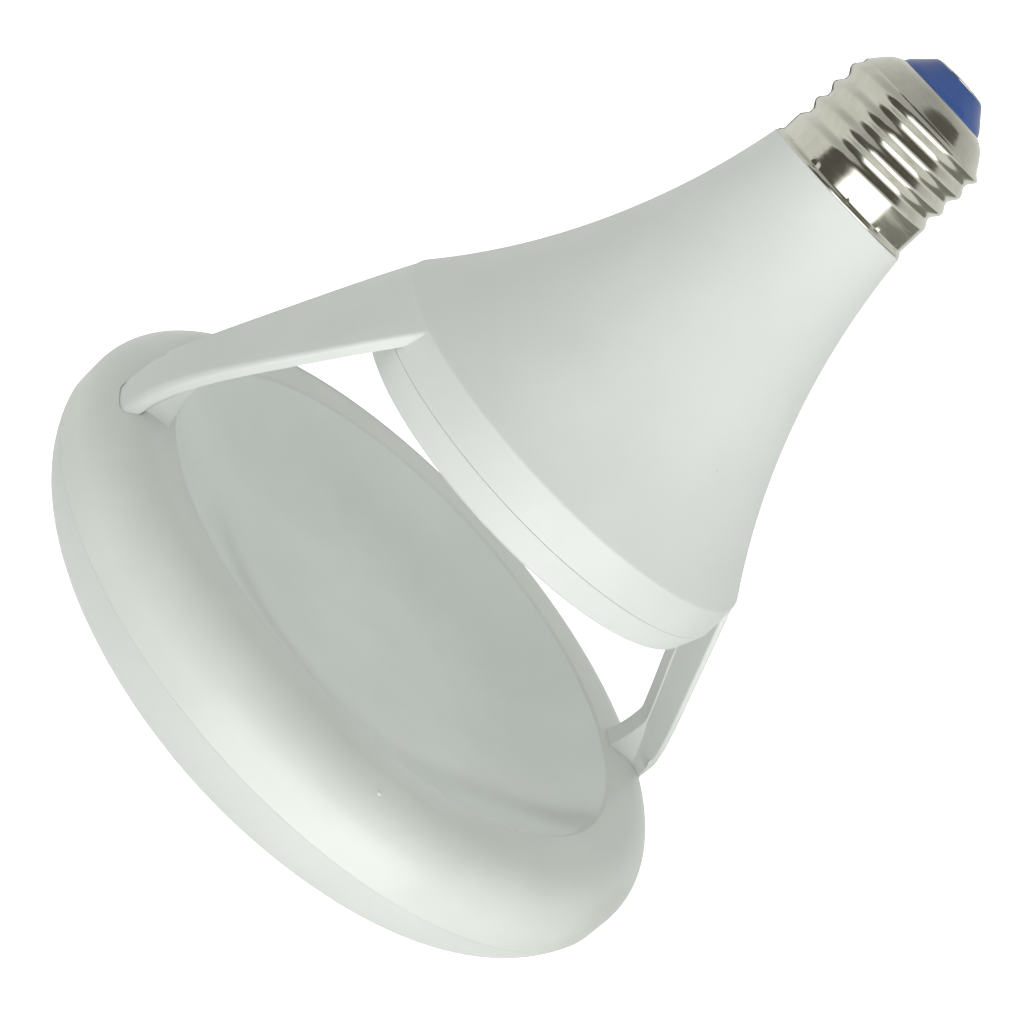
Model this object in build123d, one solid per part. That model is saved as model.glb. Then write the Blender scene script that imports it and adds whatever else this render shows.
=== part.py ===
from build123d import *
import math
import os

# LED flood bulb with a screw cap, a flared housing and a head held off on two arms.
# Millimetres. +Z runs up the lamp's axis to the cap, and z = 0 is the cap skirt's lower edge.
# The two arms lie on +X and -X.

# Fits
fit_gap = 0.15          # between pieces that slide together
seat_gap = 0.05         # between curved faces that rest on each other
duct_gap = 0.2          # round a lead in its duct

# Screw cap
cap_sheet = 0.35
skirt_r = 13.3
skirt_h = 3.5
flare_r = 13.8
flare_h = 0.7
crest_r = 13.25
root_r = 12.35
thread_pitch = 3.629
ridge_count = 4
crest_flat = 0.9
root_flat = 0.7
shoulder_h = 3.5
shoulder_bulge = 0.5
mouth_r = 8.3

# Insulator and centre contact
cone_h = 3.75
cone_tip_r = 4.9
insulator_flange = 1.4
insulator_flange_h = 1.5
collar_room = 4.5       # from the insulator down to the housing's collar
contact_r = 4.6
contact_h = 0.45
contact_edge = 0.25
stem_r = 1.6

# Housing
neck_r = 14.0
lip_r = 38.3
trumpet_h = 56.5
trumpet_sag = 3.84
lip_round = 0.9
band_h = 6.1
band_draft = 0.4
housing_wall = 1.9
collar_wall = 1.7
rail_h = 7.0
rail_reach = 2.2
rail_wall = 1.2

# Bottom cover
cover_h = 5.2
cover_draft = 1.6
cover_round = 1.0
cover_floor = 2.0
cover_wall = 1.8
spigot_h = 3.0
post_in = 6.0           # from the board's side to a post's middle
post_w = 6.0
post_h = 5.0

# Arms
air_gap = 29.8
arm_top_half = 13.9
arm_taper = 0.239       # half width lost for each millimetre of drop
arm_bow = 0.68
arm_edge_t = 2.0
arm_core_t = 4.0
arm_inset = 0.15        # arm face behind the lip where it starts
rib_half = 2.5
rib_depth = 4.5
foot_in = 0.5           # from the well's edge to the rib's foot
elbow_in = 1.4          # from the well's edge to the rib's elbow
elbow_up = 9.4          # from the rim's crest up to the elbow
tongue_reach = 4.4      # from the rim's crest out to the tongue's round end
tongue_round = 3.4
tongue_seat = 0.8
tongue_gap = 0.15
tenon_half = 1.9
tenon_l = 4.2
tenon_h = 3.6
tenon_in = 1.0          # from the rib's foot to the tenon
tenon_root = 2.0
arm_round = 0.7

# Head
head_r = 63.8
shoulder_round = 8.0
rim_h = 12.0
rim_fall = 0.6
head_wall = 2.2
rim_w = 5.8             # from the rim's crest in to the well's edge
well_bevel = 0.5
lip_t = 0.9
dish_flange = 1.2
dish_wall = 1.4
dish_depth = 9.0
dish_floor_r = 22.0
lens_h = 23.0
lens_knee_in = 6.8
lens_knee_drop = 9.6
lens_middle_in = 25.8
lens_middle_rise = 4.8
lens_wall = 2.0
lens_spigot_h = 3.0

# Light board
led_board_margin = 1.0
led_board_t = 1.6
led_count = 14
led_ring_in = 6.5       # from the board's edge to the ring of packages
led_size = 3.0
led_h = 0.8

# Driver board and what it carries
board_t = 1.6
board_margin = 14.5     # from the cover's wall to the board's side
board_low_h = 23.0
board_taper_top = 6.0
board_top = 5.0
transformer_w = 13.0
transformer_h = 14.0
transformer_d = 12.0
transformer_x = -9.0
transformer_up = 13.0
winding_w = 9.0
winding_h = 8.7
winding_round = 1.5
core_d = 8.0
capacitor_r = 5.0
capacitor_l = 16.0
capacitor_x = 9.0
capacitor_up = 13.5
capacitor_groove = 0.6
capacitor_foot = 2.0
capacitor_edge = 0.5
film_w = 13.0
film_h = 10.0
film_d = 6.0
film_up = 15.0
film_round = 1.5
choke_r = 4.0
choke_l = 9.0
choke_waist = 0.8
choke_flange = 1.2
choke_up = 31.0
bridge_w = 6.0
bridge_h = 5.0
bridge_d = 2.5
bridge_up = 38.0
bridge_edge = 0.4
chip_w = 5.0
chip_h = 4.0
chip_d = 1.6
chip_up = 28.0
chip_edge = 0.3
fuse_r = 1.6
fuse_l = 8.0
fuse_up = 48.0

# Leads
lead_r = 0.5
lead_bend = 3.0
led_lead_pad = 3.0       # from the driver board's side to the lead's end
led_lead_up = 12.8
led_lead_in = 3.7       # from the lip's radius to the bend where the lead enters the arm
led_lead_turn = 7.6     # from the rim's crest up to the bend above the tenon
neutral_x = 5.0
neutral_start = -8.0
neutral_turn = 1.2
neutral_tail = 5.0

# Heights down the axis
thread_z = skirt_h
shoulder_z = thread_z + ridge_count * thread_pitch - root_flat
mouth_z = shoulder_z + shoulder_h
tip_z = mouth_z + cone_h
flange_z = mouth_z - 2 * cap_sheet - insulator_flange - 2 * fit_gap
insulator_low_z = flange_z - insulator_flange - insulator_flange_h
collar_h = insulator_low_z - collar_room
lip_z = -trumpet_h
band_z = lip_z - band_h
cover_z = band_z - cover_h
floor_z = cover_z + cover_floor
crest_z = cover_z - air_gap
edge_z = crest_z - rim_fall
under_lip_z = edge_z - well_bevel - lip_t
under_rim_z = crest_z - head_wall
dish_floor_z = under_lip_z - dish_depth
seam_z = crest_z - rim_h
pole_z = seam_z - lens_h

# Radii that follow from the fits
shell_bore = root_r - cap_sheet
collar_r = shell_bore - fit_gap
collar_bore = collar_r - collar_wall
seat_r = skirt_r - cap_sheet - fit_gap
band_r = lip_r + band_draft
band_bore = lip_r - housing_wall
spigot_r = band_bore - fit_gap
cover_bore = spigot_r - cover_wall
shoulder_r = head_r - shoulder_round
well_r = shoulder_r - rim_w
led_board_r = dish_floor_r - led_board_margin
board_low_half = cover_bore - board_margin
head_bore = head_r - head_wall

# The driver board's front face touches the leads, which lie in the plane y = 0
front_y = -lead_r
back_y = front_y - board_t


def turned(outline):
    """Solid made by turning a closed outline of (radius, height) edges about the lamp's axis."""
    return revolve(Plane.XZ * make_face(outline), Axis.Z)


def run(*points):
    """Open chain of straight edges through (radius, height) points."""
    return Polyline(*points)


def tube(path, radius):
    """Round bar along a path that starts with a straight run."""
    return sweep(Plane(origin=path @ 0, z_dir=path % 0) * Circle(radius), path=path)


def save(shape, node):
    """Write one node of the lamp."""
    export_step(Compound(children=list(shape.solids())), os.path.join("parts", node + ".step"))


def arm_face_r(z):
    """Radius of the arm's outer face at a height: a straight fall with a slight bow."""
    share = (arm_top_z - z) / (arm_top_z - arm_tip_z)
    return arm_top_r + (arm_tip_r - arm_top_r) * share + 4 * arm_bow * share * (1 - share)


def arm_half(z):
    """Half width of the arm at a height."""
    return arm_top_half - arm_taper * (arm_top_z - z)


def rim_surface_z(r):
    """Height of the head's rounded shoulder at a radius outside its crest."""
    return crest_z - shoulder_round + math.sqrt(shoulder_round ** 2 - (r - shoulder_r) ** 2)


arm_top_z = lip_z - lip_round / 2
arm_top_r = lip_r - arm_inset
arm_tip_r = shoulder_r + tongue_reach
arm_tip_z = rim_surface_z(arm_tip_r) - tongue_seat
foot_r = well_r + foot_in
tenon_r = foot_r + tenon_in + tenon_l / 2
elbow = (well_r + elbow_in, crest_z + elbow_up)


def screw_shell():
    """Rolled cap: flared skirt, thread ridges and a shoulder that narrows to the mouth."""
    flank = (thread_pitch - crest_flat - root_flat) / 2
    outer = [(flare_r, 0), (flare_r, flare_h / 2), (skirt_r, flare_h), (skirt_r, skirt_h)]
    for ridge in range(ridge_count):
        z = thread_z + ridge * thread_pitch
        outer += [(root_r, z + root_flat / 2), (crest_r, z + root_flat / 2 + flank)]
        outer += [(crest_r, z + root_flat / 2 + flank + crest_flat), (root_r, z + thread_pitch - root_flat / 2)]
    last = outer[-1]
    mouth = (mouth_r, mouth_z)
    skirt_bore = skirt_r - cap_sheet
    inner = [(mouth_r, mouth_z - 2 * cap_sheet), (shell_bore, last[1]), (shell_bore, skirt_h)]
    inner += [(skirt_bore, skirt_h - cap_sheet), (skirt_bore, 0), (flare_r, 0)]
    shoulder = SagittaArc(last, mouth, -shoulder_bulge)
    return turned([run(*outer), shoulder, run(mouth, *inner)])


def cap_insulator():
    """Cone that fills the shell's mouth, with a flange under the shoulder and a hole for the eyelet."""
    neck = mouth_r - fit_gap
    hole = stem_r + seat_gap
    outline = Polyline(
        (hole, tip_z),
        (cone_tip_r, tip_z),
        (neck, mouth_z),
        (neck, flange_z),
        (neck + insulator_flange, flange_z - insulator_flange),
        (neck + insulator_flange, insulator_low_z),
        (hole, insulator_low_z),
        close=True,
    )
    return turned(outline)


def centre_contact():
    """Eyelet with a bevelled head on the insulator's end and a hollow stem that takes the live lead."""
    bore = lead_r + fit_gap
    stem_end = mouth_z - insulator_flange
    outline = Polyline(
        (0, tip_z + contact_h),
        (contact_r - contact_edge, tip_z + contact_h),
        (contact_r, tip_z + contact_h - contact_edge),
        (contact_r, tip_z),
        (stem_r, tip_z),
        (stem_r, stem_end),
        (bore, stem_end),
        (bore, tip_z),
        (0, tip_z),
        close=True,
    )
    return turned(outline)


def housing_shell():
    """Trumpet with its lip band below and the collar that carries the cap above."""
    seat_top = skirt_h - 2 * cap_sheet
    collar = run(
        (collar_bore, 0),
        (collar_bore, collar_h),
        (collar_r, collar_h),
        (collar_r, seat_top),
        (seat_r, seat_top),
        (seat_r, 0),
        (neck_r, 0),
    )
    flare = SagittaArc((neck_r, 0), (lip_r, lip_z), -trumpet_sag)
    band = run((lip_r, lip_z), (band_r, band_z), (band_bore, band_z), (band_bore, lip_z))
    inside = SagittaArc((band_bore, lip_z), (collar_bore, 0), trumpet_sag)
    section = make_face([collar, flare, band, inside])
    lip = section.vertices().sort_by_distance((lip_r, lip_z))[0]
    return revolve(Plane.XZ * fillet(lip, lip_round), Axis.Z)


def board_rails():
    """Two slotted rails in the collar that hold the driver board's upper end."""
    width = board_t + 2 * (fit_gap + rail_wall)
    middle = (front_y + back_y) / 2
    slot = Box(4 * collar_r, board_t + 2 * fit_gap, 3 * rail_h)
    ring = Cylinder(collar_bore + collar_wall / 2, rail_h) - Cylinder(collar_bore - rail_reach, rail_h)
    rails = ring & Pos(0, middle, 0) * Box(4 * collar_r, width, rail_h)
    return Pos(0, 0, rail_h / 2) * (rails - Pos(0, middle, 0) * slot)


def led_lead_path(side):
    """Route of a light lead: off the board, down the arm, through its tenon and in to the light board."""
    lead_z = dish_floor_z - dish_wall - led_board_t - lead_r
    route = [
        (board_low_half - led_lead_pad, floor_z + led_lead_up),
        (lip_r - led_lead_in, floor_z + led_lead_up),
        (tenon_r, crest_z + led_lead_turn),
        (tenon_r, lead_z),
        (led_board_r - 2 * lead_r, lead_z),
    ]
    return FilletPolyline(*[(side * r, 0, z) for r, z in route], radius=lead_bend)


def arm_section(z):
    """Level slice through an arm: thin at its edges and thicker beside the rib."""
    face = arm_face_r(z)
    half = arm_half(z)
    edge = math.sqrt(face ** 2 - half ** 2) - arm_edge_t
    core = face - arm_core_t
    beyond = face + arm_core_t
    outline = Polyline(
        (beyond, -half),
        (beyond, half),
        (edge, half),
        (core, rib_half),
        (core, -rib_half),
        (edge, -half),
        close=True,
    )
    return Pos(0, 0, z) * make_face(outline)


def rim_body(depth):
    """Everything inside the head's rim, down to a depth below its top surface."""
    radius = shoulder_round - depth
    top = crest_z - depth
    outline = [
        run((0, edge_z - depth), (well_r, edge_z - depth), (shoulder_r, top)),
        RadiusArc((shoulder_r, top), (shoulder_r + radius, top - radius), radius),
        run((shoulder_r + radius, top - radius), (shoulder_r + radius, seam_z), (0, seam_z), (0, edge_z - depth)),
    ]
    return turned(outline)


def tongue_plan(tip, half):
    """Plan of an arm's end, out to a rounded tip of a given half width."""
    slope = arm_taper * (arm_top_z - arm_tip_z) / (arm_tip_r - arm_top_r)
    inner = arm_top_r / 2
    inner_half = half + slope * (tip - inner)
    outline = Polyline((inner, -inner_half), (tip, -half), (tip, half), (inner, inner_half), close=True)
    plan = make_face(outline)
    return fillet(plan.vertices().group_by(Axis.X)[-1], min(tongue_round, half - seat_gap))


def on_arm_face(edge):
    """Whether an edge runs down the side of the arm's outer face."""
    middle = edge @ 0.5
    off_face = math.hypot(middle.X, middle.Y) - arm_face_r(middle.Z)
    return abs(off_face) < arm_round / 4 and edge.length > air_gap / 3 and abs(middle.Y) > rib_half


def arm():
    """One arm on +X: a tapering plate with a thicker middle, a rib, a foot and a tenon."""
    levels = [arm_top_z, arm_tip_z - tongue_seat]
    blank = loft([arm_section(z) for z in levels], ruled=True)
    mid_z = (arm_top_z + arm_tip_z) / 2
    face = [
        run((0, levels[1]), (0, arm_top_z), (arm_top_r, arm_top_z)),
        ThreePointArc((arm_top_r, arm_top_z), (arm_face_r(mid_z), mid_z), (arm_tip_r, arm_tip_z)),
        run((arm_tip_r, arm_tip_z), (arm_tip_r, levels[1]), (0, levels[1])),
    ]
    plate = blank & turned(face)
    plate = fillet([edge for edge in plate.edges() if on_arm_face(edge)], arm_round)
    plan = tongue_plan(arm_tip_r, arm_half(arm_tip_z) + tongue_gap)
    plate &= extrude(Pos(0, 0, levels[1]) * plan, amount=arm_top_z - levels[1])
    plate -= rim_body(tongue_seat)
    rib_outline = Polyline(
        (arm_top_r - rib_depth, arm_top_z),
        (arm_top_r - arm_edge_t / 2, arm_top_z),
        (arm_face_r(mid_z) - arm_edge_t / 2, mid_z),
        (arm_face_r(crest_z) - arm_edge_t / 2, crest_z),
        (arm_face_r(crest_z) - arm_edge_t / 2, edge_z - rim_fall),
        (foot_r, edge_z - rim_fall),
        elbow,
        close=True,
    )
    rib = extrude(Plane.XZ * make_face(rib_outline), amount=rib_half, both=True)
    rib -= rim_body(-seat_gap)
    tenon = Box(tenon_l, 2 * tenon_half, tenon_h + tenon_root)
    tenon = Pos(tenon_r, 0, crest_z + (tenon_root - tenon_h) / 2) * tenon
    return plate + rib + tenon


def cover_room():
    """Space that the bottom cover and the housing's inside need, kept clear of the arms."""
    outline = Polyline(
        (0, lip_z),
        (band_bore, lip_z),
        (band_bore, band_z),
        (band_r + 2 * fit_gap, band_z),
        (band_r - cover_draft + 2 * fit_gap, cover_z),
        (band_r - cover_draft + 2 * fit_gap, cover_z - 2 * fit_gap),
        (0, cover_z - 2 * fit_gap),
        close=True,
    )
    return turned(outline)


def housing():
    """The whole moulding: trumpet, collar with rails, and two arms with ducts for the light leads."""
    right = arm() - cover_room()
    left = right.rotate(Axis.Z, 180)
    body = housing_shell() + board_rails() + right + left
    for side in (1, -1):
        body -= tube(led_lead_path(side), lead_r + duct_gap)
    groove = Cylinder(lead_r + duct_gap, 2 * (neutral_tail + duct_gap))
    return body - Pos(neutral_x, neutral_out_y(), collar_h) * groove


def neutral_out_y():
    """How far out the neutral lead runs down the outside of the collar."""
    radius = collar_r - lead_r
    return math.sqrt(radius ** 2 - neutral_x ** 2)


def bottom_cover():
    """Shallow cup under the lip, with a spigot inside the band and two posts for the driver board."""
    low_r = band_r - cover_draft
    section = make_face(
        Polyline(
            (0, cover_z),
            (low_r, cover_z),
            (band_r, band_z),
            (spigot_r, band_z),
            (spigot_r, band_z + spigot_h),
            (cover_bore, band_z + spigot_h),
            (cover_bore, floor_z),
            (0, floor_z),
            close=True,
        )
    )
    corner = section.vertices().sort_by_distance((low_r, cover_z))[0]
    cup = revolve(Plane.XZ * fillet(corner, cover_round), Axis.Z)
    middle = (front_y + back_y) / 2
    post_d = board_t + 2 * (fit_gap + rail_wall)
    post = Box(post_w, post_d, post_h) - Box(2 * post_w, board_t + 2 * fit_gap, 2 * post_h)
    for side in (1, -1):
        cup += Pos(side * (board_low_half - post_in), middle, floor_z + post_h / 2) * post
    return cup


def head_ring():
    """Rounded rim of the head, with a rebate for the dish, tongue pockets and tenon slots."""
    inner_round = shoulder_round - head_wall
    corner = shoulder_round - inner_round * math.cos(math.radians(45))
    flange_seat = well_r + dish_flange + fit_gap
    outline = [
        run((head_r, seam_z), (head_r, crest_z - shoulder_round)),
        RadiusArc((head_r, crest_z - shoulder_round), (shoulder_r, crest_z), -shoulder_round),
        run(
            (shoulder_r, crest_z),
            (well_r + well_bevel, edge_z),
            (well_r, edge_z - well_bevel),
            (well_r, under_lip_z),
            (flange_seat, under_lip_z),
            (flange_seat, under_rim_z),
            (shoulder_r, under_rim_z),
            (head_r - corner, crest_z - corner),
            (head_bore, crest_z - shoulder_round),
            (head_bore, seam_z),
            (head_r, seam_z),
        ),
    ]
    ring = turned(outline)
    depth = crest_z - arm_tip_z + tongue_seat
    start = arm_face_r(crest_z) - arm_core_t - tongue_gap
    width = 2 * (arm_half(crest_z) + tongue_gap)
    plan = tongue_plan(arm_tip_r + tongue_gap, arm_half(arm_tip_z) + 2 * tongue_gap)
    end = extrude(Pos(0, 0, crest_z - depth) * plan, amount=depth)
    block = Pos(start + head_r / 2, 0, crest_z) * Box(head_r, width, 2 * depth)
    pocket = (end & block) - rim_body(tongue_seat + seat_gap)
    slot = Box(tenon_l + 2 * fit_gap, 2 * (tenon_half + fit_gap), 4 * head_wall)
    cuts = pocket + Pos(tenon_r, 0, crest_z) * slot
    return ring - cuts - cuts.rotate(Axis.Z, 180)


def heat_dish():
    """Stamped bowl with a flat floor, hung by its flange under the rim's inner edge."""
    flange_r = well_r + dish_flange
    low_z = dish_floor_z - dish_wall
    outline = [
        run((0, dish_floor_z), (dish_floor_r, dish_floor_z)),
        TangentArc((dish_floor_r, dish_floor_z), (well_r, under_lip_z), tangent=(1, 0)),
        run((well_r, under_lip_z), (flange_r, under_lip_z), (flange_r, under_lip_z - dish_wall)),
        TangentArc((dish_floor_r, low_z), (flange_r, under_lip_z - dish_wall), tangent=(1, 0)),
        run((dish_floor_r, low_z), (0, low_z), (0, dish_floor_z)),
    ]
    return turned(outline)


def lens():
    """Domed diffuser, flat over its middle and rounder towards the rim, with a spigot inside the rim."""
    knee = (head_r - lens_knee_in, seam_z - lens_knee_drop)
    middle = (head_r - lens_middle_in, pole_z + lens_middle_rise)
    dome = TangentArc((0, pole_z), middle, tangent=(1, 0))
    curve = TangentArc(middle, knee, tangent=dome % 1)
    edge = TangentArc(knee, (head_r, seam_z), tangent=curve % 1)
    spigot_out = head_bore - fit_gap
    spigot_in = spigot_out - lens_wall
    inner_knee = (knee[0] - lens_wall, knee[1] + lens_wall / 2)
    ceiling = TangentArc((0, pole_z + lens_wall), inner_knee, tangent=(1, 0))
    rim = run(
        (head_r, seam_z),
        (spigot_out, seam_z),
        (spigot_out, seam_z + lens_spigot_h),
        (spigot_in, seam_z + lens_spigot_h),
        (spigot_in, seam_z),
        inner_knee,
    )
    return turned([dome, curve, edge, rim, ceiling, run((0, pole_z + lens_wall), (0, pole_z))])


def led_board():
    """Round board bonded to the underside of the dish's floor."""
    top = dish_floor_z - dish_wall
    return Pos(0, 0, top - led_board_t / 2) * Cylinder(led_board_r, led_board_t)


def leds():
    """Ring of light-emitting packages under the board."""
    z = dish_floor_z - dish_wall - led_board_t - led_h / 2
    package = Box(led_size, led_size, led_h)
    step = 360 / led_count
    return Compound(children=[Rot(0, 0, (i + 0.5) * step) * Pos(led_board_r - led_ring_in, 0, z) * package for i in range(led_count)])


def driver_board():
    """Upright board, wide at its foot, that narrows into the neck."""
    top_half = math.sqrt(collar_bore ** 2 - back_y ** 2) - 2 * fit_gap
    taper_z = floor_z + board_low_h
    outline = Polyline(
        (-board_low_half, floor_z),
        (board_low_half, floor_z),
        (board_low_half, taper_z),
        (top_half, -board_taper_top),
        (top_half, board_top),
        (-top_half, board_top),
        (-top_half, -board_taper_top),
        (-board_low_half, taper_z),
        close=True,
    )
    sheet = extrude(Plane.XZ * make_face(outline), amount=board_t)
    return Pos(0, front_y, 0) * sheet


def on_front(shape, x, up, depth):
    """Set a piece on the board's front, its middle at a height above the board's foot."""
    return Pos(x, front_y + depth / 2, floor_z + up) * shape


def on_back(shape, x, up, depth):
    """Set a piece on the board's back, its middle at a height above the board's foot."""
    return Pos(x, back_y - depth / 2, floor_z + up) * shape


def transformer():
    """Ferrite core with two windows, and the wound bobbin round its middle leg."""
    core = Box(transformer_w, core_d, transformer_h)
    winding = Box(winding_w, transformer_d, winding_h)
    winding = fillet(winding.edges().filter_by(Axis.Z), winding_round)
    return on_front(core + winding, transformer_x, transformer_up, transformer_d)


def bulk_capacitor():
    """Electrolytic can that lies along the board, with a rolled groove near its foot."""
    half = capacitor_l / 2
    groove = capacitor_r - capacitor_groove
    foot = capacitor_foot - half
    outline = Polyline(
        (0, -half),
        (capacitor_r, -half),
        (capacitor_r, foot),
        (groove, foot + capacitor_groove),
        (capacitor_r, foot + 2 * capacitor_groove),
        (capacitor_r, half - capacitor_edge),
        (capacitor_r - capacitor_edge, half),
        (0, half),
        close=True,
    )
    return on_front(turned(outline), capacitor_x, capacitor_up, 2 * capacitor_r)


def film_capacitor():
    """Dipped film capacitor, a rounded block on the board's back."""
    block = Box(film_w, film_d, film_h)
    block = fillet(block.edges().filter_by(Axis.Y), film_round)
    return on_back(block, 0, film_up, film_d)


def filter_choke():
    """Drum core with two flanges and a wound waist."""
    half = choke_l / 2
    waist = choke_r - choke_waist
    outline = Polyline(
        (0, -half),
        (choke_r, -half),
        (choke_r, -half + choke_flange),
        (waist, -half + choke_flange),
        (waist, half - choke_flange),
        (choke_r, half - choke_flange),
        (choke_r, half),
        (0, half),
        close=True,
    )
    return on_front(Rot(90, 0, 0) * turned(outline), 0, choke_up, choke_l)


def bridge_rectifier():
    """Small moulded rectifier on the board's back."""
    block = Box(bridge_w, bridge_d, bridge_h)
    block = chamfer(block.faces().sort_by(Axis.Y)[0].edges(), bridge_edge)
    return on_back(block, 0, bridge_up, bridge_d)


def control_chip():
    """Driver chip on the board's back."""
    block = Box(chip_w, chip_d, chip_h)
    block = chamfer(block.faces().sort_by(Axis.Y)[0].edges(), chip_edge)
    return on_back(block, 0, chip_up, chip_d)


def fuse_resistor():
    """Fusible resistor across the board, in line with the live lead."""
    return on_front(Rot(0, 90, 0) * Cylinder(fuse_r, fuse_l), 0, fuse_up, 2 * fuse_r)


def live_lead():
    """Straight lead up the axis from the fuse into the eyelet's stem."""
    low = floor_z + fuse_up + fuse_r
    return Pos(0, 0, (low + tip_z) / 2) * Cylinder(lead_r, tip_z - low)


def neutral_lead():
    """Lead that goes over the collar's edge and lies between the collar and the shell."""
    top = collar_h + lead_r + neutral_turn
    out = neutral_out_y()
    low = collar_h - neutral_tail
    path = FilletPolyline(
        (neutral_x, 0, neutral_start),
        (neutral_x, 0, top),
        (neutral_x, out, top),
        (neutral_x, out, low),
        radius=neutral_turn,
    )
    return tube(path, lead_r)


os.makedirs("parts", exist_ok=True)
nodes = {
    "screw_shell": screw_shell(),
    "cap_insulator": cap_insulator(),
    "centre_contact": centre_contact(),
    "housing": housing(),
    "bottom_cover": bottom_cover(),
    "head_ring": head_ring(),
    "heat_dish": heat_dish(),
    "lens": lens(),
    "led_board": led_board(),
    "leds": leds(),
    "driver_board": driver_board(),
    "transformer": transformer(),
    "bulk_capacitor": bulk_capacitor(),
    "film_capacitor": film_capacitor(),
    "filter_choke": filter_choke(),
    "bridge_rectifier": bridge_rectifier(),
    "control_chip": control_chip(),
    "fuse_resistor": fuse_resistor(),
    "live_lead": live_lead(),
    "neutral_lead": neutral_lead(),
    "led_lead_right": tube(led_lead_path(1), lead_r),
    "led_lead_left": tube(led_lead_path(-1), lead_r),
}
for node, shape in nodes.items():
    save(shape, node)
    print(node, len(shape.solids()), round(shape.volume, 1))
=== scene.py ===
# %% [markdown]
# # An LED flood bulb
# The lamp has a rolled screw cap, a flared white housing with two ribbed arms, and a round head with a
# glossy dish on top and a shallow diffuser below. Its solids are loaded first, as a frame in metres that
# nothing here may move. Every piece below is then built straight into that frame.

# %% Load the frame
import bmesh
import bpy
import math
from mathutils import Matrix, Quaternion, Vector


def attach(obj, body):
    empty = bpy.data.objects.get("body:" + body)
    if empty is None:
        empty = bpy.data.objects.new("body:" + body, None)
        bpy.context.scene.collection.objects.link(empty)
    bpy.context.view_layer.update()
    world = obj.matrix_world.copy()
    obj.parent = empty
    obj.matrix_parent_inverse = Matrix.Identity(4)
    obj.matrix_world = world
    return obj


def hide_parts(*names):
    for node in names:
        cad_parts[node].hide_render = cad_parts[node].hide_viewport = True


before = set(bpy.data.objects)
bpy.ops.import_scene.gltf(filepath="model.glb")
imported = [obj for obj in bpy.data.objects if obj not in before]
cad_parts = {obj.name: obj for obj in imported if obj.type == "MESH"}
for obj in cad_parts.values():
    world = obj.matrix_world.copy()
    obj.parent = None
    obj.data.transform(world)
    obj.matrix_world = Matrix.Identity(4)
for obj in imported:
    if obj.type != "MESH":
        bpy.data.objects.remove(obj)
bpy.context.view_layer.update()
MM = 0.001
print("loaded", len(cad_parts), "solids")

# %% [markdown]
# ## Sizes
# The solids were drawn in millimetres from a few measured radii and heights. The same values are kept
# here, so that a smooth piece lands exactly where its plain solid is. Height zero is the lower edge of the
# cap's skirt, with the cap above it and the rest of the lamp below.

# %% Sizes of the lamp in millimetres
cap_sheet = 0.35
skirt_r = 13.3
skirt_h = 3.5
flare_r = 13.8
flare_h = 0.9
crest_r = 13.25
root_r = 12.35
thread_pitch = 3.629
mouth_r = 8.3
mouth_z = 20.816
shoulder_z = 17.0
tip_z = 24.566
cone_tip_r = 4.9
neck_r = 14.0
lip_r = 38.3
lip_z = -56.5
trumpet_sag = 3.84
band_r = 38.7
band_z = -62.6
band_bore = 36.4
cover_z = -67.8
cover_low_r = 37.1
crest_z = -97.6
edge_z = -98.2
under_lip_z = -99.6
dish_floor_z = -108.6
seam_z = -109.6
pole_z = -132.6
head_r = 63.8
shoulder_round = 8.0
shoulder_r = 55.8
well_r = 50.0
print("lamp is", round(2 * head_r, 1), "mm wide")

# %% [markdown]
# ## The camera
# A product picture is easiest to match when the camera comes first. It stands about 290 mm from the lamp,
# a little above the middle of its height, and is rolled so that the lamp's axis lies on a slant. The lens
# follows from how fast the far side of the head shrinks, and a small shift centres the picture.

# %% Camera
camera_place = Vector((-129.17, -247.07, 11.9)) * MM
camera_target = Vector((-7.53, 3.65, -64.2)) * MM
camera_roll = math.radians(47.08)
view_line = camera_target - camera_place
camera_data = bpy.data.cameras.new("studio_camera")
camera_data.lens = 61.09
camera_data.shift_y = -0.0862
camera_data.clip_start = 0.01
camera = bpy.data.objects.new("studio_camera", camera_data)
bpy.context.scene.collection.objects.link(camera)
camera.location = camera_place
level = view_line.to_track_quat("-Z", "Y")
camera.rotation_mode = "QUATERNION"
camera.rotation_quaternion = level @ Quaternion((0, 0, 1), camera_roll)
bpy.context.scene.camera = camera
print("camera stands", round(view_line.length * 1000), "mm from the lamp's middle")

# %% [markdown]
# ## Helpers for materials
# Colours are written as the hex values that a colour picker gives, and one function turns them into the
# linear values that shading needs. One more function adds a node, sets it and links it. Pattern sizes are
# real sizes in millimetres, turned into a texture's scale.

# %% Colour and node helpers
MATH = "ShaderNodeMath"
RANGE = "ShaderNodeMapRange"
NOISE_SPAN = {"From Min": 0.3, "From Max": 0.7}     # nearly all of a noise lies between these


def linear(hex_colour):
    """Linear colour of an sRGB hex value."""
    channels = [int(hex_colour[i:i + 2], 16) / 255 for i in (1, 3, 5)]
    return [c / 12.92 if c <= 0.04045 else ((c + 0.055) / 1.055) ** 2.4 for c in channels] + [1.0]


def add(tree, kind, links, **settings):
    """Adds one node. Settings are its own properties, and links give its inputs a value, an output or a
    whole node, which stands for its first output."""
    node = tree.nodes.new(kind)
    for name, value in settings.items():
        setattr(node, name, value)
    for name, value in links.items():
        if isinstance(value, bpy.types.Node):
            value = value.outputs[0]
        if isinstance(value, bpy.types.NodeSocket):
            tree.links.new(value, node.inputs[name])
        else:
            node.inputs[name].default_value = value
    return node


def per_mm(size):
    """Texture scale, in Object coordinates of one metre, for a pattern of this size in millimetres."""
    return 1000.0 / size


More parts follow.
